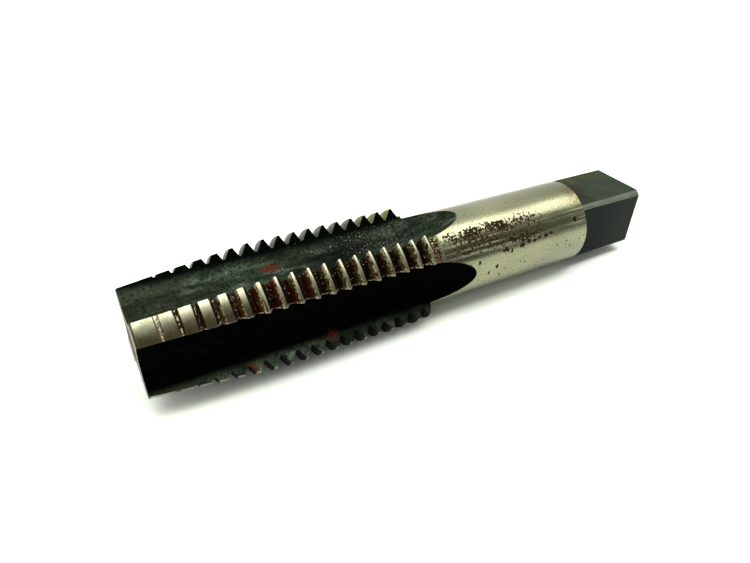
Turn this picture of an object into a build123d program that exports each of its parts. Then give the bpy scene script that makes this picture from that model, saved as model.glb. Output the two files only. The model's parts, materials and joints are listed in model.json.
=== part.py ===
"""Taper hand tap for a 1-1/8 inch hole with 7 threads per inch, ground from one bar of tool steel.

The tap lies on two of its four lands. Its axis runs along X, from the cutting end to the driving
square, and the origin is on the surface it lies on, under the middle of its length.
"""

from build123d import *
from math import acos, atan, ceil, cos, degrees, pi, radians, sin, tan
import os

INCH = 25.4

# Overall proportions of the blank
overall_length = 5.4375 * INCH
shank_diameter = 0.896 * INCH

# Thread: a right-hand 60 degree form with flats at its crest and root
thread_diameter = 1.125 * INCH
threads_per_inch = 7
thread_length = 65.0
thread_end_angle = 25  # of the bevel behind the last thread, from square to the axis
crest_flat_share = 1 / 8
root_flat_share = 1 / 8
flank_angle = 30
first_groove = 0.811  # pitches from the cutting end, on the first land

# Lead taper, which thins the crests towards the cutting end
taper_length = 27.0
front_diameter = 23.1
front_bevel = 0.12

# Flutes: round-bottomed channels, cut by a wheel that lifts out over the shank
flute_count = 4
web_diameter = 13.0
land_angle = 27.8
flute_straight = 58.0
wheel_radius = 45.0

# Driving square
square_size = 0.672 * INCH
square_length = 0.875 * INCH
square_end_bevel = 0.2

# Centre holes in both end faces: a 60 degree cone, then a pilot hole
centre_mouth_diameter = 8.0
centre_cone_angle = 60
centre_pilot_diameter = 4.0
centre_pilot_depth = 7.0  # from the end face

# How far each cut runs past the face that it starts from
cut_past = 1.0

# Radii, and the thread's other sizes
thread_radius = thread_diameter / 2
shank_radius = shank_diameter / 2
front_radius = front_diameter / 2
pitch = INCH / threads_per_inch
flank_slope = tan(radians(flank_angle))
thread_depth = pitch * (1 - crest_flat_share - root_flat_share) / (2 * flank_slope)
root_radius = thread_radius - thread_depth
lead_angle = degrees(atan(pitch / (pi * (thread_radius + root_radius))))
thread_end = thread_length + (thread_radius - shank_radius) * tan(radians(thread_end_angle))
groove_count = ceil(thread_end / pitch)

# A land and half of a flute, as angles about the axis
land_step = 360 / flute_count
flute_half_angle = radians(land_step - land_angle) / 2

# The flute's arc passes through both edges of its mouth and over the web
mouth_height = thread_radius * cos(flute_half_angle)
mouth_half_width = thread_radius * sin(flute_half_angle)
web_radius = web_diameter / 2
flute_depth = mouth_height - web_radius
flute_radius = (flute_depth**2 + mouth_half_width**2) / (2 * flute_depth)

# The wheel lifts until its rim is clear of the thread's crests
wheel_lift = thread_radius + cut_past - web_radius
wheel_lift_angle = degrees(acos(1 - wheel_lift / wheel_radius))

# Centre holes and driving square
centre_radius = centre_mouth_diameter / 2
pilot_radius = centre_pilot_diameter / 2
cone_depth = (centre_radius - pilot_radius) / tan(radians(centre_cone_angle) / 2)
square_start = overall_length - square_length


# Turned blank, with its centre holes, its lead taper and the bevel behind the last thread
with BuildPart() as blank:
    with BuildSketch(Plane.XZ):
        with BuildLine():
            Polyline(
                (centre_pilot_depth, 0),
                (centre_pilot_depth, pilot_radius),
                (cone_depth, pilot_radius),
                (0, centre_radius),
                (0, front_radius - front_bevel),
                (front_bevel, front_radius),
                (taper_length, thread_radius),
                (thread_length, thread_radius),
                (thread_end, shank_radius),
                (overall_length - square_end_bevel, shank_radius),
                (overall_length, shank_radius - square_end_bevel),
                (overall_length, centre_radius),
                (overall_length - cone_depth, pilot_radius),
                (overall_length - centre_pilot_depth, pilot_radius),
                (overall_length - centre_pilot_depth, 0),
                close=True,
            )
        make_face()
    revolve(axis=Axis.X)

# One flute: a straight channel, then the round rim of the wheel that lifts out over the shank
with BuildPart() as flute:
    with BuildSketch(Plane.YZ.offset(-cut_past)):
        with Locations((0, -web_radius - flute_radius)):
            Circle(flute_radius)
    extrude(amount=cut_past + flute_straight)
    with BuildSketch(Plane.YZ.offset(flute_straight)):
        with Locations((0, -web_radius - flute_radius)):
            Circle(flute_radius)
    revolve(
        axis=Axis((flute_straight, 0, -web_radius - wheel_radius), (0, 1, 0)),
        revolution_arc=wheel_lift_angle,
    )

# One thread groove across one land: a short ring with the section of the space between two
# crests. Both of its ends lie in the flutes.
with BuildPart() as groove:
    groove_arc = land_angle + 16
    groove_height = thread_depth + cut_past
    root_half = root_flat_share * pitch / 2
    mouth_half = root_half + groove_height * flank_slope
    with BuildSketch(Plane.XZ.rotated((-groove_arc / 2, 0, 0))):
        with BuildLine():
            Polyline(
                (-root_half, -root_radius),
                (-mouth_half, -root_radius - groove_height),
                (mouth_half, -root_radius - groove_height),
                (root_half, -root_radius),
                close=True,
            )
        make_face()
    revolve(axis=Axis.X, revolution_arc=groove_arc)

# The tap about its own axis, from its cutting end
with BuildPart() as ground:
    add(blank.part)

    # Flutes, the first of them facing down
    for index in range(flute_count):
        add(flute.part, rotation=(index * land_step, 0, 0), mode=Mode.SUBTRACT)

    # Thread: each groove is turned to the lead angle, and each land's row of grooves starts a
    # part of a pitch further on than the row before it, so that the rows join as one helix
    for index in range(flute_count):
        land_turn = (index + 0.5) * land_step
        row_start = first_groove + index / flute_count
        row = [
            Location(((row_start + turn) * pitch, 0, 0), (land_turn, 0, -lead_angle))
            for turn in range(groove_count)
        ]
        with Locations(*row):
            add(groove.part, mode=Mode.SUBTRACT)

    # Driving square, with its corners left round
    with BuildSketch(Plane.YZ.offset(square_start)):
        Circle(thread_radius)
        Rectangle(square_size, square_size, mode=Mode.SUBTRACT)
    extrude(amount=square_length, mode=Mode.SUBTRACT)

# The tap as it lies, on the lower edges of two lands
with BuildPart() as tap:
    axis_height = -ground.part.bounding_box().min.Z
    with Locations((-overall_length / 2, 0, axis_height)):
        add(ground.part)

tap.part.label = "tap"
os.makedirs("parts", exist_ok=True)
export_step(tap.part, "parts/tap.step")
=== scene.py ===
import json
import math

import bmesh
import bpy
from mathutils import Euler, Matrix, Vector


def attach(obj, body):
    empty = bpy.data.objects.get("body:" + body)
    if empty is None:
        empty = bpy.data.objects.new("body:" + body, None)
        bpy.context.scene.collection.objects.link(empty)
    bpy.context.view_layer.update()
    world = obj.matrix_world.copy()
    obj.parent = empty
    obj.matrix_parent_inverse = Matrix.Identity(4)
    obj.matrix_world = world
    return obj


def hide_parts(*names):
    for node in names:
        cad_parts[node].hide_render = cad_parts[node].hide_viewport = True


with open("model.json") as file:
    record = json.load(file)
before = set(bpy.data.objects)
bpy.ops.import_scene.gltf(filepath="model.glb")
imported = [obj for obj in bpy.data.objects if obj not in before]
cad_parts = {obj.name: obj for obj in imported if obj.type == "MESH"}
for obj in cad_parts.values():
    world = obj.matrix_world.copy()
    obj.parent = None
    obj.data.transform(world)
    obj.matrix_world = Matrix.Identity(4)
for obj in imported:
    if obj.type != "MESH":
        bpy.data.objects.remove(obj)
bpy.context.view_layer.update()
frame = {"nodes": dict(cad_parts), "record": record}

MM = 0.001

# Where the tip of the lead and the axis lie in the frame, in millimetres, and the shank's radius.
mounts = {mount["name"]: mount for mount in frame["record"]["mounts"]}
TIP, _, AXIS_HEIGHT = (c / MM for c in mounts["front_centre"]["pos_m"])
SHANK_RADIUS = mounts["shank"]["dims"]["r_mm"]

# The tap's other sizes in millimetres. Those along it start from the tip of the lead.
SHOULDER = 115.88
THREAD_END = 65.0
THREAD_RADIUS = 14.2875
TAPER_LENGTH = 27.0
TIP_RADIUS = 11.55
PITCH = 25.4 / 7
FIRST_GROOVE = 3.396
FLUTE_STRAIGHT = 58.0
FLUTE_RADIUS = 7.616
FLUTE_CENTRE = 14.116
WHEEL_AXIS = 51.5
HOLE_RADIUS = 4.05  # of the centre holes, with a little to spare
HOLE_END = 12.0  # the hole in the tip ends before this
FACET = 0.1  # how far the mesh's facets may part from the round forms
FLUTE_FACET = 0.13  # and in the flutes
SLACK = 0.03  # how far before a plane a face still counts as on it

# How far along the axis the unit normals lean: those of a 60 degree thread's flanks, those at a
# worn crest's edges, and the most that still counts as none.
FLANK_LEAN = 0.866
CREST_LEAN = 0.45
NO_LEAN = 0.2

MM_PER_DEGREE = 0.2  # round the shank
NOISE_MIDDLE = 0.5  # the noise texture's values lie about this

# Single spots of rust: along, turn, length and width, and on the flutes the radius as well.
SHANK_SPOTS = (
    (87.6, 159, 2.4, 1.2),
    (84.7, 178, 1.0, 1.2),
    (79.2, 166, 1.0, 0.9),
    (82.5, 185, 0.9, 0.8),
    (102.9, 154.5, 1.5, 1.3),
    (101.2, 156, 1.6, 1.0),
    (98.9, 156, 1.5, 1.2),
    (97.2, 157.5, 1.2, 0.9),
    (95.2, 157, 1.4, 1.0),
    (93.0, 159, 1.8, 1.2),
    (111.9, 146, 1.6, 1.7),
    (108.5, 178, 0.8, 0.7),
    (89.5, 164, 1.0, 0.7),
)
FLUTE_SPOTS = (
    (31.0, 67, 4.6, 2.4, 7.8),
    (20.9, 212.6, 2.2, 2.4, 12.6),
    (39.9, 212.2, 2.6, 2.8, 11.2),
)

# The studio, in millimetres, degrees and watts.
TABLE_SIZE = 6000
SOFTBOX_SIZE = (1300, 320)
SOFTBOX_PLACE = (50, -60, 600)
SOFTBOX_POWER = 6.0
EYE = (-74.38, -103.11, 93.87)
EYE_TURN = (54.69, -3.055, -31.165)
LENS, SENSOR_WIDTH = 28.683, 36
LENS_SHIFT = (-0.0286, 0.0053)
CLIP = (5, 20000)


# ---------------------------------------------------------------- materials


def srgb(code):
    """A hex colour as the linear colour that the shaders work in."""
    parts = [int(code[i : i + 2], 16) / 255 for i in (1, 3, 5)]
    return (*(c / 12.92 if c <= 0.04045 else ((c + 0.055) / 1.055) ** 2.4 for c in parts), 1.0)


def add(tree, kind, inputs=(), **settings):
    """Adds one shader node with its settings and gives it back. Its inputs, by name or in the
    order of those in use, take another node, an output of one, a hex colour or a plain value."""
    node = tree.nodes.new("ShaderNode" + kind)
    for name, value in settings.items():
        setattr(node, name, value)
    in_use = [socket for socket in node.inputs if socket.enabled]
    for key, value in inputs.items() if isinstance(inputs, dict) else enumerate(inputs):
        socket = node.inputs[key] if isinstance(key, str) else in_use[key]
        if isinstance(value, bpy.types.Node):
            value = next(output for output in value.outputs if output.enabled)
        if isinstance(value, bpy.types.NodeSocket):
            tree.links.new(value, socket)
        else:
            socket.default_value = srgb(value) if isinstance(value, str) else value
    return node


# Masks are 1 where something shows and 0 where it doesn't.


def overlap(tree, first, *others):
    """Where all the masks are, each as strong as it is; a plain number weakens them."""
    for other in others:
        first = add(tree, "Math", (first, other), operation="MULTIPLY")
    return first


def most(tree, first, *others):
    """The strongest of several masks."""
    for other in others:
        first = add(tree, "Math", (first, other), operation="MAXIMUM")
    return first


def summed(tree, base, *parts):
    """A base number or pattern and several parts added to it, each a pattern and its weight."""
    for pattern, weight in parts:
        base = add(tree, "Math", (pattern, weight, base), operation="MULTIPLY_ADD")
    return base


def painted(tree, base, *coats):
    """A base colour under several coats, each a mask and the colour that it lays on."""
    for mask, colour in coats:
        base = add(tree, "Mix", (mask, base, colour), data_type="RGBA")
    return base


def within(tree, value, *edges):
    """1 where the value is past every edge. An edge fades in from its first number to its second,
    which is the lower one where the mask lies below the edge."""
    masks = [
        add(
            tree,
            "MapRange",
            {"Value": value, "From Min": off, "From Max": on},
            interpolation_type="SMOOTHSTEP",
        )
        for off, on in edges
    ]
    return overlap(tree, *masks)


def band(tree, value, low, high, soft):
    """1 between low and high, with soft edges."""
    return within(tree, value, (low - soft, low + soft), (high + soft, high - soft))


def start_finish(name):
    """An empty material and the place on the tap that its patterns are laid out on."""
    material = bpy.data.materials.new(name)
    material.use_nodes = True
    tree = material.node_tree
    tree.nodes.clear()
    point = add(tree, "TexCoord").outputs["Object"]
    # Millimetres, with the origin on the axis at the tip.
    point = add(
        tree,
        "Mapping",
        {"Vector": point, "Location": (-TIP, 0, -AXIS_HEIGHT), "Scale": (1 / MM,) * 3},
    )
    axes = add(tree, "SeparateXYZ", (point,)).outputs
    # Degrees round the axis, from -90 to 270, with the join underneath: 45 is the top land, 135
    # the front land and 180 the front flute.
    turn = add(tree, "Math", (axes[2], axes[1]), operation="ARCTAN2")
    turn = add(tree, "Math", (turn, 180 / math.pi, 90), operation="MULTIPLY_ADD")
    turn = add(tree, "Math", (turn, 360, 0), operation="WRAP")
    turn = add(tree, "Math", (turn, 90), operation="SUBTRACT")
    # The surface rolled out flat, for patterns that run along it or round it.
    rolled = add(tree, "Math", (turn, MM_PER_DEGREE), operation="MULTIPLY")
    flat = add(tree, "CombineXYZ", (axes[0], rolled))
    round_axis = add(tree, "CombineXYZ", (axes[1], axes[2]))
    radius = add(tree, "VectorMath", (round_axis,), operation="LENGTH")
    # Which way the ground surface faces: x towards the square, y to the far side, z up.
    faces = add(tree, "Attribute", attribute_name="surface_way").outputs["Vector"]
    faces = add(tree, "SeparateXYZ", (faces,)).outputs
    return material, tree, {
        "point": point,
        "along": axes[0],
        "turn": turn,
        "flat": flat,
        "across": axes[1],
        "radius": radius,
        "back": faces[0],
        "far": faces[1],
        "up": faces[2],
    }


def end_finish(material, tree, colour, roughness, metallic, specular, relief, depth, **others):
    """Closes a material with its shader. depth is the relief's height in millimetres."""
    inputs = {
        "Base Color": colour,
        "Roughness": roughness,
        "Metallic": metallic,
        "Specular IOR Level": specular,
        "Normal": add(tree, "Bump", {"Strength": 1.0, "Distance": depth * MM, "Height": relief}),
        **others,
    }
    add(tree, "OutputMaterial", (add(tree, "BsdfPrincipled", inputs),))
    return material


def laid_out(tree, place, size, stretch=(1, 1, 1), flat=True):
    """The place in steps of size millimetres, on the surface rolled out flat or in the solid."""
    scale = tuple(1 / (size * share) for share in stretch)
    return add(tree, "Mapping", {"Vector": place["flat" if flat else "point"], "Scale": scale})


def grain(tree, place, size, stretch=(1, 1, 1), detail=3.0, rough=0.55, flat=True):
    """Cloudy noise whose features are about size millimetres, before stretching."""
    steps = laid_out(tree, place, size, stretch, flat)
    return add(
        tree, "TexNoise", {"Vector": steps, "Scale": 1.0, "Detail": detail, "Roughness": rough}
    )


def dots(tree, place, spacing, low, high, flat=True):
    """Separate round dots, one in each cell of about spacing millimetres, with a size drawn from
    low to high as a share of the spacing; below zero there is none."""
    steps = laid_out(tree, place, spacing, flat=flat)
    cells = add(tree, "TexVoronoi", {"Vector": steps, "Scale": 1.0})
    chance = add(tree, "SeparateXYZ", (cells.outputs["Color"],))
    size = add(tree, "MapRange", {"Value": chance, "To Min": low, "To Max": high})
    past = add(tree, "Math", (cells.outputs["Distance"], size), operation="SUBTRACT")
    return within(tree, past, (0.08, -0.02))


def spot(tree, place, along, turn, length, width, radius=SHANK_RADIUS):
    """A single spot of rust or stain with a ragged edge, length by width millimetres across."""
    angle = math.radians(turn)
    middle = (along, radius * math.cos(angle), radius * math.sin(angle))
    shares = (2 / length, 2 / width, 2 / width)
    offset = add(tree, "VectorMath", (place["point"], middle), operation="SUBTRACT")
    offset = add(tree, "VectorMath", (offset, shares), operation="MULTIPLY")
    reach = add(tree, "VectorMath", (offset,), operation="LENGTH")
    # The noise moves the edge in and out by up to about half of the spot.
    edge = summed(tree, -NOISE_MIDDLE, (grain(tree, place, 0.7, detail=4, flat=False), 1))
    return within(tree, summed(tree, reach, (edge, 3)), (1.15, 0.75))


def from_groove(tree, place):
    """Millimetres along the tap to the middle of the nearest turn of the thread's groove."""
    helix = summed(tree, FIRST_GROOVE, (place["turn"], PITCH / 360))
    offset = add(tree, "Math", (place["along"], helix), operation="SUBTRACT")
    offset = add(tree, "Math", (offset, PITCH / 2, -PITCH / 2), operation="WRAP")
    return add(tree, "Math", (offset,), operation="ABSOLUTE")


def ground_shank():
    """High-speed steel, cylindrically ground and then handled for years: a warm satin grey with
    fine marks round it, dull lengthwise smears, a field of rust pits behind the thread and a
    yellowed band beside the square."""
    material, tree, place = start_finish("ground_high_speed_steel_shank")
    along, turn = place["along"], place["turn"]
    cloud = grain(tree, place, 7.0, (1.6, 1, 1))
    fine = grain(tree, place, 0.5, detail=3)
    # Grinding marks are a few hundredths of a millimetre apart; drawn at a quarter to show.
    marks = grain(tree, place, 0.25, (1, 26, 1), detail=2)
    # The top of the shank is darker towards the square.
    dim = overlap(tree, within(tree, along, (88, 112)), within(tree, turn, (114, 98)))
    # Smears drawn along the shank where it was gripped and pulled, dark with grey between.
    smear = grain(tree, place, 1.15, (34, 1, 1), detail=4, rough=0.62)
    gripped = overlap(tree, band(tree, turn, 130, 159, 4), within(tree, along, (66, 78)))
    bare = overlap(tree, gripped, within(tree, smear, (0.54, 0.6)), within(tree, turn, (158, 148)))
    dull = overlap(tree, gripped, within(tree, smear, (0.51, 0.44)))
    # Rust pits, thickest just under the bright line of the shank and thinning towards the square.
    from_edge = summed(tree, turn, (within(tree, along, (78, 100)), -3))
    field = overlap(
        tree,
        within(tree, from_edge, (112, 124)),
        within(tree, turn, (163, 148)),
        band(tree, along, 68, 102, 6),
    )
    clump = grain(tree, place, 3.2, (1.4, 1, 1), detail=3)
    speck = grain(tree, place, 0.8, detail=4, rough=0.6)
    thickest = overlap(tree, band(tree, along, 74, 91, 5), band(tree, turn, 114, 134, 6))
    low_edge = overlap(tree, band(tree, along, 86, 104, 5), band(tree, turn, 147, 156, 3))
    density = summed(
        tree, speck, (field, 0.22), (clump, 0.42), (most(tree, thickest, low_edge), 0.055)
    )
    pits = within(tree, density, (0.925, 0.95))
    # Brown rust just behind the last thread.
    behind = overlap(
        tree,
        band(tree, along, 64.5, 69.2, 0.8),
        band(tree, turn, 118, 150, 3),
        within(tree, fine, (0.4, 0.47)),
    )
    singles = most(tree, *[spot(tree, place, *where) for where in SHANK_SPOTS])
    # A few small dots lie scattered among the clumps, and more of them low on the shank.
    few = overlap(tree, dots(tree, place, 1.1, -0.3, 0.16), within(tree, clump, (0.46, 0.56)))
    low = overlap(
        tree,
        dots(tree, place, 1.6, -0.12, 0.17),
        band(tree, turn, 150, 222, 8),
        within(tree, cloud, (0.36, 0.48)),
    )
    rust = most(tree, pits, behind, singles, few, low)
    tint = grain(tree, place, 0.8, detail=3)
    rust_colour = painted(
        tree,
        "#090601",
        (within(tree, tint, (0.44, 0.64)), "#30200a"),
        (overlap(tree, behind, within(tree, tint, (0.5, 0.64))), "#60390f"),
    )
    yellowed = overlap(
        tree,
        within(tree, along, (110.8, 115.2)),
        band(tree, turn, 92, 128, 8),
        within(tree, fine, (0.36, 0.56)),
    )
    colour = painted(
        tree,
        "#8e8f73",
        (within(tree, cloud, (0.35, 0.7)), "#80806a"),
        (overlap(tree, within(tree, fine, (0.48, 0.64)), 0.55), "#5d5d44"),
        (overlap(tree, dim, 0.85), "#67694d"),
        (overlap(tree, dull, 0.65), "#4a502c"),
        (overlap(tree, bare, 0.75), "#8b9285"),
        (rust, rust_colour),
        (overlap(tree, yellowed, 0.8), "#57461a"),
    )
    rough = summed(tree, 0.19, (marks, 0.05), (fine, 0.08), (most(tree, rust, bare), 0.4))
    metal = summed(tree, 1, (most(tree, rust, overlap(tree, bare, 0.55)), -0.97))
    relief = summed(tree, 0, (marks, 0.008), (rust, -1))
    return end_finish(material, tree, colour, rough, metal, 0.06, relief, depth=0.05)


def ground_land():
    """The ground tops of the lands: the same steel, brighter where it was relieved last, with a
    few dark nicks, darker brown towards the heel and a dark line round the lead, painted shade
    of a small bevel there."""
    material, tree, place = start_finish("ground_high_speed_steel_land")
    along = place["along"]
    cloud = grain(tree, place, 2.2, (1.2, 1, 1))
    fine = grain(tree, place, 0.6, detail=4, rough=0.62)
    # As on the shank, the grinding marks are drawn coarser than they are, to show.
    marks = grain(tree, place, 0.25, (1, 20, 1), detail=2)
    heel = band(tree, place["turn"], 137, 158, 7)
    # A paler mauve-grey line runs along the heel's own edge.
    edge = band(tree, place["turn"], 147.4, 158, 0.5)
    nicks_and_bevel_shade = overlap(
        tree, dots(tree, place, 1.4, -0.3, 0.16), within(tree, grain(tree, place, 2.5), (0.45, 0.6))
    )
    # A dark line round the lead: painted shade of a small bevel there, counted with the nicks.
    lead = within(tree, summed(tree, along, (cloud, -0.3)), (0.3, 0.12))
    nicks_and_bevel_shade = most(tree, nicks_and_bevel_shade, lead)
    # The first two turns have hardly any depth, and brown lines are painted along their edges,
    # standing in for the walls of a wider groove.
    near = summed(tree, -0.25, (from_groove(tree, place), 1), (fine, 0.5))
    first = overlap(tree, band(tree, near, 0.3, 0.56, 0.07), band(tree, along, 2.6, 6.8, 0.1))
    second = overlap(tree, within(tree, near, (0.66, 0.54)), band(tree, along, 6.9, 10.4, 0.1))
    brown_groove_edges = overlap(tree, most(tree, first, second), within(tree, cloud, (0.36, 0.46)))
    colour = painted(
        tree,
        "#a9aa90",
        (within(tree, cloud, (0.4, 0.7)), "#8b8b70"),
        (overlap(tree, within(tree, fine, (0.5, 0.7)), 0.55), "#6f6f58"),
        (overlap(tree, heel, 0.75), "#5f5029"),
        (overlap(tree, edge, within(tree, fine, (0.4, 0.5))), "#8f877a"),
        # Dark nicks, and the painted shade of the bevel round the lead.
        (overlap(tree, nicks_and_bevel_shade, 0.9), "#1c150c"),
        (
            overlap(tree, brown_groove_edges, 0.9),
            painted(tree, "#4f3208", (within(tree, fine, (0.4, 0.6)), "#1d0d03")),
        ),
    )
    rough = summed(tree, 0.16, (marks, 0.08), (fine, 0.24))
    metal = summed(tree, 1, (most(tree, nicks_and_bevel_shade, brown_groove_edges, overlap(tree, edge, 0.4)), -0.9))
    relief = summed(tree, marks, (nicks_and_bevel_shade, -1))
    return end_finish(material, tree, colour, rough, metal, 0.1, relief, depth=0.003)


def thread_flank():
    """Thread flanks and roots: ground steel still pale beside the crest, mottled olive and brown
    down the flank and almost black in the root, partly rust and partly painted shade, with dark
    red rust on the first full turns, painted shade on the flanks that face the square, on the
    lower side of the land and on the land below, and bright painted glints in the groove."""
    material, tree, place = start_finish("rusted_thread_flank")
    along, turn = place["along"], place["turn"]
    crest = add(
        tree,
        "MapRange",
        {"Value": along, "From Max": TAPER_LENGTH, "To Min": TIP_RADIUS, "To Max": THREAD_RADIUS},
    )
    depth = add(tree, "Math", (crest, place["radius"]), operation="SUBTRACT")
    patch = grain(tree, place, 1.8, (1.5, 1, 1), detail=4, flat=False)
    fine = grain(tree, place, 0.4, detail=4, rough=0.65, flat=False)
    speck = grain(tree, place, 0.55, detail=3, rough=0.6, flat=False)
    # On the lower side of the land, turned away from the light above, the flanks get painted shade
    # further up from the root and fewer painted glints.
    lower = within(tree, turn, (118, 130))
    # How deep the face lies below the crest, with noise: the deeper, the darker, partly rust and
    # partly painted shade in the root.
    uneven = summed(tree, -2.1, (depth, 1), (speck, 2.6), (patch, 1.6), (lower, 0.35))
    red = overlap(tree, band(tree, along, 20, 36, 4), within(tree, patch, (0.4, 0.5)))
    red = most(tree, red, overlap(tree, within(tree, patch, (0.58, 0.64)), 0.6))
    brown = painted(
        tree, "#3c3412", (within(tree, speck, (0.42, 0.6)), "#210f05"), (red, "#2e0a03")
    )
    # Near black in the root: rust, and painted shade where the groove is deepest.
    root = painted(tree, "#0b0603", (red, "#220602"))
    # The first turns are shallow, and brown from side to side.
    first = within(tree, along, (17, 14))
    shallow = painted(
        tree,
        "#221303",
        (overlap(tree, within(tree, along, (6, 8)), within(tree, speck, (0.4, 0.6))), "#160501"),
    )
    # The top land's flanks are grey, going yellow-green on its last teeth.
    top_land_grey = painted(
        tree,
        "#615f55",
        (within(tree, uneven, (0.2, 1.8)), "#2b2a22"),
        (overlap(tree, within(tree, along, (50, 60)), within(tree, speck, (0.4, 0.55))), "#6c7026"),
    )
    # The land below lies in its own shadow: painted shadow, near black.
    painted_shadow_below = within(tree, turn, (180, 190))
    # Painted glints in the groove, a pale line along the heel's edge and, on the front turns,
    # painted glints along the roots here and there, most of all on the upper side of the land.
    grit = overlap(
        tree, dots(tree, place, 0.5, -0.3, 0.24, flat=False), within(tree, depth, (0.9, 1.6))
    )
    heel = overlap(tree, band(tree, turn, 146.8, 150, 0.6), within(tree, fine, (0.47, 0.58)))
    root_glints = overlap(
        tree,
        within(tree, from_groove(tree, place), (0.24, 0.16)),
        within(tree, along, (26, 23)),
        within(tree, summed(tree, speck, (along, -0.009), (lower, -0.07)), (0.33, 0.41)),
    )
    glints_and_heel_line = overlap(tree, most(tree, grit, heel, root_glints), summed(tree, 1, (painted_shadow_below, -1)))
    colour = painted(
        tree,
        "#85836a",
        (within(tree, uneven, (0.35, 0.9)), brown),
        (within(tree, uneven, (1.2, 1.8)), root),
        (first, shallow),
        # The flanks that face the square are painted dark, as painted shade.
        (overlap(tree, within(tree, place["back"], (0.3, 0.6)), 0.85), "#120a06"),
        (band(tree, turn, 20, 88, 4), top_land_grey),
        # Painted shadow on the land below.
        (overlap(tree, painted_shadow_below, 0.95), "#040504"),
        # Bright painted glints, and the pale line along the heel.
        (overlap(tree, glints_and_heel_line, 0.85), "#bdb9a4"),
    )
    bare = overlap(
        tree, within(tree, uneven, (0.9, 0.3)), summed(tree, 1, (most(tree, painted_shadow_below, first), -1))
    )
    metal = summed(tree, 0.03, (most(tree, bare, glints_and_heel_line), 0.5))
    rough = summed(tree, 0.35, (fine, 0.3))
    relief = summed(tree, speck, (glints_and_heel_line, 1))
    return end_finish(material, tree, colour, rough, metal, 0.06, relief, depth=0.05)


def black_flute():
    """Steam-oxidised flutes: a black skin with hardly any sheen, painted a touch lighter on top, a
    mealy green-grey film on the walls that face up, partly settled dirt and partly painted light,
    brightest in a painted highlight band half way up the upper wall, with pale grit and swarf dust
    caught in it, and a few spots of fresh rust."""
    material, tree, place = start_finish("steam_oxidised_flute")
    along, turn, up = place["along"], place["turn"], place["up"]
    drawn = grain(tree, place, 1.2, (9, 1, 1), detail=4)
    cloud = grain(tree, place, 3.5, (2.0, 1, 1), detail=4, flat=False)
    mealy = grain(tree, place, 0.7, detail=4, rough=0.62, flat=False)
    # On top, the film is painted brightest half way up the wall, a painted highlight band; below,
    # it lies along the teeth only.
    on_top = band(tree, turn, 46, 134, 1)
    painted_highlight_band = summed(tree, 0.42, (within(tree, place["far"], (-0.4, -0.6)), 0.58))
    worn_off = summed(tree, 1, (band(tree, along, 40, 58, 9), -0.8))
    top_film_and_highlight = overlap(tree, within(tree, place["far"], (-0.82, -0.64)), painted_highlight_band, worn_off, on_top)
    thinner = summed(tree, 1, (within(tree, along, (14, 48)), -0.66))
    teeth = overlap(tree, within(tree, up, (0.72, 0.9)), summed(tree, 1, (on_top, -1)), thinner)
    dusty_film_and_painted_light = most(tree, top_film_and_highlight, teeth)
    lead = within(tree, along, (34, 12))
    uneven = summed(tree, 0, (cloud, 0.6), (drawn, 0.5), (mealy, 0.4), (lead, 0.035))
    film = painted(
        tree,
        "#131b14",
        (within(tree, uneven, (0.6, 0.81)), "#364233"),
        (within(tree, uneven, (0.77, 0.98)), "#707b69"),
        (overlap(tree, within(tree, along, (20, 5)), 0.55), "#2a2b1e"),
    )
    pits = overlap(
        tree, dots(tree, place, 0.9, -0.2, 0.2, flat=False), within(tree, cloud, (0.46, 0.54))
    )
    # Dust lies in patches on what faces up, and swarf where the flutes run out and on the teeth.
    patches = overlap(tree, within(tree, cloud, (0.47, 0.6)), 0.5)
    run_out = band(tree, along, 48, 69, 6)
    on_teeth = overlap(tree, teeth, band(tree, along, 12, 36, 4))
    upward = most(
        tree,
        overlap(tree, on_top, within(tree, place["far"], (-0.88, -0.74))),
        overlap(tree, teeth, 0.9),
    )
    dusty = overlap(tree, most(tree, patches, run_out, on_teeth), upward)
    grit = grain(tree, place, 0.45, detail=3, rough=0.6, flat=False)
    dust = most(
        tree,
        overlap(
            tree, dots(tree, place, 0.6, -0.3, 0.22, flat=False), within(tree, dusty, (0.3, 0.9))
        ),
        overlap(
            tree, dots(tree, place, 1.6, -0.2, 0.12, flat=False), within(tree, dusty, (0.05, 0.5))
        ),
        overlap(tree, within(tree, grit, (0.58, 0.66)), within(tree, dusty, (0.5, 1.0)), 0.5),
    )
    rust = most(tree, *[spot(tree, place, *where) for where in FLUTE_SPOTS])
    paler = summed(tree, 1, (within(tree, along, (34, 37)), -0.45))
    rust = overlap(tree, rust, within(tree, mealy, (0.38, 0.52)), paler)
    colour = painted(
        tree,
        "#010101",
        # Painted light: the upper flute's skin a touch lighter than the lower's.
        (on_top, "#050805"),
        # The film: settled dirt, and painted light on the walls that face up.
        (dusty_film_and_painted_light, film),
        (overlap(tree, within(tree, mealy, (0.44, 0.36)), 0.8), "#0a0d08"),
        (overlap(tree, pits, 0.85), "#070a06"),
        (overlap(tree, dust, 0.75), "#888d7b"),
        (
            overlap(tree, rust, 0.8),
            painted(tree, "#5f1c0c", (within(tree, mealy, (0.48, 0.6)), "#33120a")),
        ),
    )
    rough = summed(tree, 0.45, (drawn, 0.2), (dust, 0.3))
    relief = summed(tree, mealy, (drawn, 0.3), (dust, 1))
    sheen = summed(tree, 0.004, (dusty_film_and_painted_light, 0.03))
    return end_finish(material, tree, colour, rough, 0.0, sheen, relief, depth=0.03, IOR=1.6)


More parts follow.
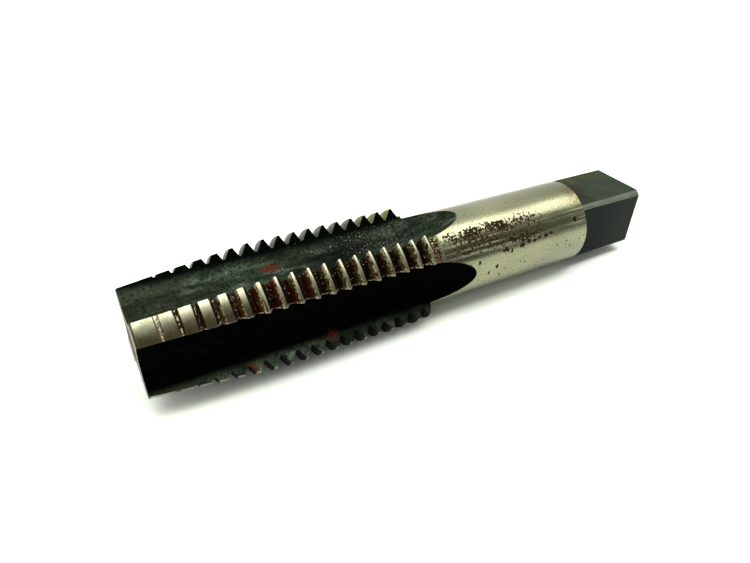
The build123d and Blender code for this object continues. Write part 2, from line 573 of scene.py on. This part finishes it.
def black_square():
    """The driving square: milled flats left with a dull dark oxide, the sides darker towards the
    shoulder and the top faces painted lighter as light from above, stained brown beside the
    shoulder and olive along the far edge."""
    material, tree, place = start_finish("oxidised_driving_square")
    along = place["along"]
    cloud = grain(tree, place, 5.0, flat=False, detail=3)
    fine = grain(tree, place, 0.5, flat=False, detail=4, rough=0.6)
    top = within(tree, place["up"], (0.2, 0.8))
    handled = overlap(tree, within(tree, cloud, (0.44, 0.6)), within(tree, along, (134, 124)))
    far = overlap(
        tree, within(tree, place["across"], (0.0, 7.0)), within(tree, cloud, (0.38, 0.55))
    )
    blotch = grain(tree, place, 2.4, flat=False, detail=4)
    edge = summed(tree, -9, (along, 1), (fine, 6), (blotch, 12))
    stain = overlap(
        tree, band(tree, place["across"], -6.0, 4.5, 2.5), within(tree, edge, (123.6, 120.4))
    )
    colour = painted(
        tree,
        "#040f0b",
        (within(tree, along, (122, 136)), "#191e19"),
        # Painted light: the top faces lighter than the sides.
        (top, painted(tree, "#1e281c", (within(tree, cloud, (0.4, 0.6)), "#242d21"))),
        (overlap(tree, handled, top, 0.5), "#2c2a1b"),
        (overlap(tree, far, top, 0.85), "#2f3412"),
        (overlap(tree, within(tree, fine, (0.5, 0.7)), 0.4), "#0d120f"),
        (overlap(tree, stain, top, 0.9), "#1c1506"),
    )
    rough = summed(tree, 0.5, (fine, 0.2))
    return end_finish(material, tree, colour, rough, 0.0, 0.06, fine, depth=0.01, IOR=1.6)


def worn_corner():
    """The shank's own surface on the corners of the square, dulled grey-green by the wrench."""
    material, tree, place = start_finish("worn_square_corner")
    cloud = grain(tree, place, 1.6, (3, 1, 1), detail=2)
    fine = grain(tree, place, 0.4)
    colour = painted(
        tree,
        "#646c61",
        (within(tree, cloud, (0.4, 0.65)), "#545b50"),
        (overlap(tree, within(tree, fine, (0.6, 0.8)), 0.6), "#3d423a"),
    )
    rough = summed(tree, 0.45, (fine, 0.2))
    return end_finish(material, tree, colour, rough, 0.75, 0.5, fine, depth=0.005)


def ground_end():
    """The faces of the ends and their centre holes: turned, gone a dull warm grey and freckled."""
    material, tree, place = start_finish("turned_end_face")
    cloud = grain(tree, place, 1.6, flat=False, detail=4)
    fine = grain(tree, place, 0.5, flat=False, detail=4, rough=0.65)
    colour = painted(
        tree,
        "#6a6758",
        (within(tree, cloud, (0.4, 0.65)), "#545144"),
        (overlap(tree, within(tree, fine, (0.54, 0.66)), 0.7), "#3f3c30"),
    )
    rough = summed(tree, 0.4, (cloud, 0.2))
    return end_finish(material, tree, colour, rough, 0.7, 0.2, fine, depth=0.01)


# ---------------------------------------------------------------- the tap


def surface_of(face):
    """Which of the tap's surfaces a face of the mesh lies on."""
    x, y, z = (c / MM for c in face.calc_center_median())
    x, z = x - TIP, z - AXIS_HEIGHT
    radius, across, aside = math.hypot(y, z), max(abs(y), abs(z)), min(abs(y), abs(z))
    if x < SLACK or (radius < HOLE_RADIUS and (x < HOLE_END or x > SHOULDER)):
        return "end"
    if x > SHOULDER - SLACK:
        on_rim = radius > SHANK_RADIUS - FACET and face.normal.x < NO_LEAN
        return "corner" if on_rim else "square"
    # The grinding wheel lifts out of the flute on a circle of its own radius.
    from_hub = WHEEL_AXIS - across
    if x > FLUTE_STRAIGHT:
        from_hub = math.hypot(x - FLUTE_STRAIGHT, from_hub)
    from_centre = math.hypot(from_hub - (WHEEL_AXIS - FLUTE_CENTRE), aside)
    if abs(from_centre - FLUTE_RADIUS) < FLUTE_FACET:
        return "flute"
    if x > THREAD_END - SLACK:
        return "shank"
    crest = THREAD_RADIUS
    if x < TAPER_LENGTH:
        crest = TIP_RADIUS + (THREAD_RADIUS - TIP_RADIUS) * x / TAPER_LENGTH
    return "land" if abs(radius - crest) < FACET else "flank"


def true_normal(surface, face, corner):
    """The normal of the ground form at a corner of a face, so that light runs over the curved
    surfaces as it does over turned steel and not from facet to facet."""
    x, y, z = corner.x / MM - TIP, corner.y / MM, corner.z / MM - AXIS_HEIGHT
    lean = face.normal.x
    if surface == "flute":
        across = Vector((0, y, 0)) if abs(y) > abs(z) else Vector((0, 0, z))
        side = across.normalized()
        centre = Vector((x, 0, 0)) + side * FLUTE_CENTRE
        if x > FLUTE_STRAIGHT:
            hub = Vector((FLUTE_STRAIGHT, 0, 0)) + side * WHEEL_AXIS
            spoke = Vector((x, 0, 0)) + across - hub
            centre = hub + spoke.normalized() * (WHEEL_AXIS - FLUTE_CENTRE)
        return (centre - Vector((x, y, z))).normalized()
    if surface in ("shank", "corner"):
        # The bevel behind the last thread and the one round the square's end keep their slope.
        slope = 0.0 if abs(lean) < NO_LEAN else lean
    elif surface == "flank":
        slope = round(lean / FLANK_LEAN) * FLANK_LEAN
    elif surface == "land" and x > TAPER_LENGTH - 2:
        # The edges of a narrow crest are worn round.
        face_middle = face.calc_center_median().x / MM - TIP
        slope = math.copysign(CREST_LEAN, x - face_middle)
    elif surface == "land":
        slope = lean if abs(lean) < NO_LEAN else 0.0
    else:
        return face.normal.copy()
    out = Vector((0, y, z)).normalized()
    return (out * math.sqrt(1 - slope * slope) + Vector((slope, 0, 0))).normalized()


def dress_tap():
    """The tap as one smooth-shaded piece that carries a finish for each of its surfaces."""
    mesh = frame["nodes"]["tap"].data.copy()
    mesh.name = "thread_tap"
    mesh.materials.clear()
    tap = bpy.data.objects.new("thread_tap", mesh)
    bpy.context.scene.collection.objects.link(tap)
    finishes = {
        "shank": ground_shank(),
        "land": ground_land(),
        "flank": thread_flank(),
        "flute": black_flute(),
        "square": black_square(),
        "corner": worn_corner(),
        "end": ground_end(),
    }
    for material in finishes.values():
        mesh.materials.append(material)
    order = {name: i for i, name in enumerate(finishes)}
    cut = bmesh.new()
    cut.from_mesh(mesh)
    bmesh.ops.remove_doubles(cut, verts=cut.verts, dist=0.002 * MM)
    cut.normal_update()
    normals = []
    for face in cut.faces:
        surface = surface_of(face)
        face.material_index = order[surface]
        face.smooth = True
        normals += [true_normal(surface, face, loop.vert.co) for loop in face.loops]
    cut.to_mesh(mesh)
    cut.free()
    mesh.normals_split_custom_set(normals)
    # The same directions, kept for the finishes to tell what faces up and what faces back.
    ways = mesh.attributes.new("surface_way", "FLOAT_VECTOR", "CORNER")
    ways.data.foreach_set("vector", [part for normal in normals for part in normal])
    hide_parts("tap")
    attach(tap, "root")


# ---------------------------------------------------------------- studio


def lay_table():
    """A pale table that the tap lies on, on its thread and on the back edge of its shank, which
    is thinner."""
    bpy.ops.object.select_all(action="DESELECT")
    bpy.ops.mesh.primitive_plane_add(size=TABLE_SIZE * MM)
    table = bpy.context.object
    table.name = "table"
    rise = math.atan2(AXIS_HEIGHT - SHANK_RADIUS, SHOULDER - THREAD_END)
    table.rotation_euler = (0, -rise, 0)
    table.location = ((TIP + THREAD_END) * MM, 0, 0)
    bpy.ops.object.transform_apply()
    paper = bpy.data.materials.new("pale_table")
    paper.use_nodes = True
    shader = paper.node_tree.nodes["Principled BSDF"]
    shader.inputs["Base Color"].default_value = srgb("#f5f9f4")
    shader.inputs["Roughness"].default_value = 0.9
    shader.inputs["Specular IOR Level"].default_value = 0.1
    table.data.materials.append(paper)


def softbox():
    """A large soft light over the tap."""
    lamp = bpy.data.lights.new("overhead_softbox", "AREA")
    lamp.shape = "RECTANGLE"
    lamp.size, lamp.size_y = (side * MM for side in SOFTBOX_SIZE)
    lamp.energy = SOFTBOX_POWER
    lamp.color = srgb("#fffef8")[:3]
    light = bpy.data.objects.new("overhead_softbox", lamp)
    bpy.context.scene.collection.objects.link(light)
    light.location = [c * MM for c in SOFTBOX_PLACE]


def room():
    """What the steel mirrors: bright walls behind and at both ends, and a dim room in front that
    is darkest near the floor."""
    world = bpy.data.worlds.new("room")
    bpy.context.scene.world = world
    world.use_nodes = True
    tree = world.node_tree
    tree.nodes.clear()
    way = add(tree, "TexCoord").outputs["Generated"]
    axes = add(tree, "SeparateXYZ", (way,)).outputs
    behind = within(tree, axes[1], (-0.65, 0.35))
    left = within(tree, axes[0], (-0.35, -0.85))
    right = within(tree, axes[0], (0.6, 0.95))
    walls = most(tree, behind, overlap(tree, left, 1.4), overlap(tree, right, 1.4))
    above_floor = within(tree, axes[2], (0.0, 0.6))
    glow = summed(tree, 0.04, (above_floor, 0.13), (walls, 1.25))
    backdrop = add(tree, "Background", ("#f4f6f2", glow))
    add(tree, "OutputWorld", (backdrop,))


def camera():
    """Looks down on the tap from in front of its lead, as it was held to be seen."""
    lens = bpy.data.cameras.new("camera")
    lens.lens, lens.sensor_width = LENS, SENSOR_WIDTH
    lens.shift_x, lens.shift_y = LENS_SHIFT
    lens.clip_start, lens.clip_end = (reach * MM for reach in CLIP)
    eye = bpy.data.objects.new("camera", lens)
    bpy.context.scene.collection.objects.link(eye)
    eye.location = [c * MM for c in EYE]
    eye.rotation_euler = Euler([math.radians(a) for a in EYE_TURN])
    bpy.context.scene.camera = eye


dress_tap()
lay_table()
softbox()
room()
camera()
bpy.context.scene.view_settings.view_transform = "Standard"
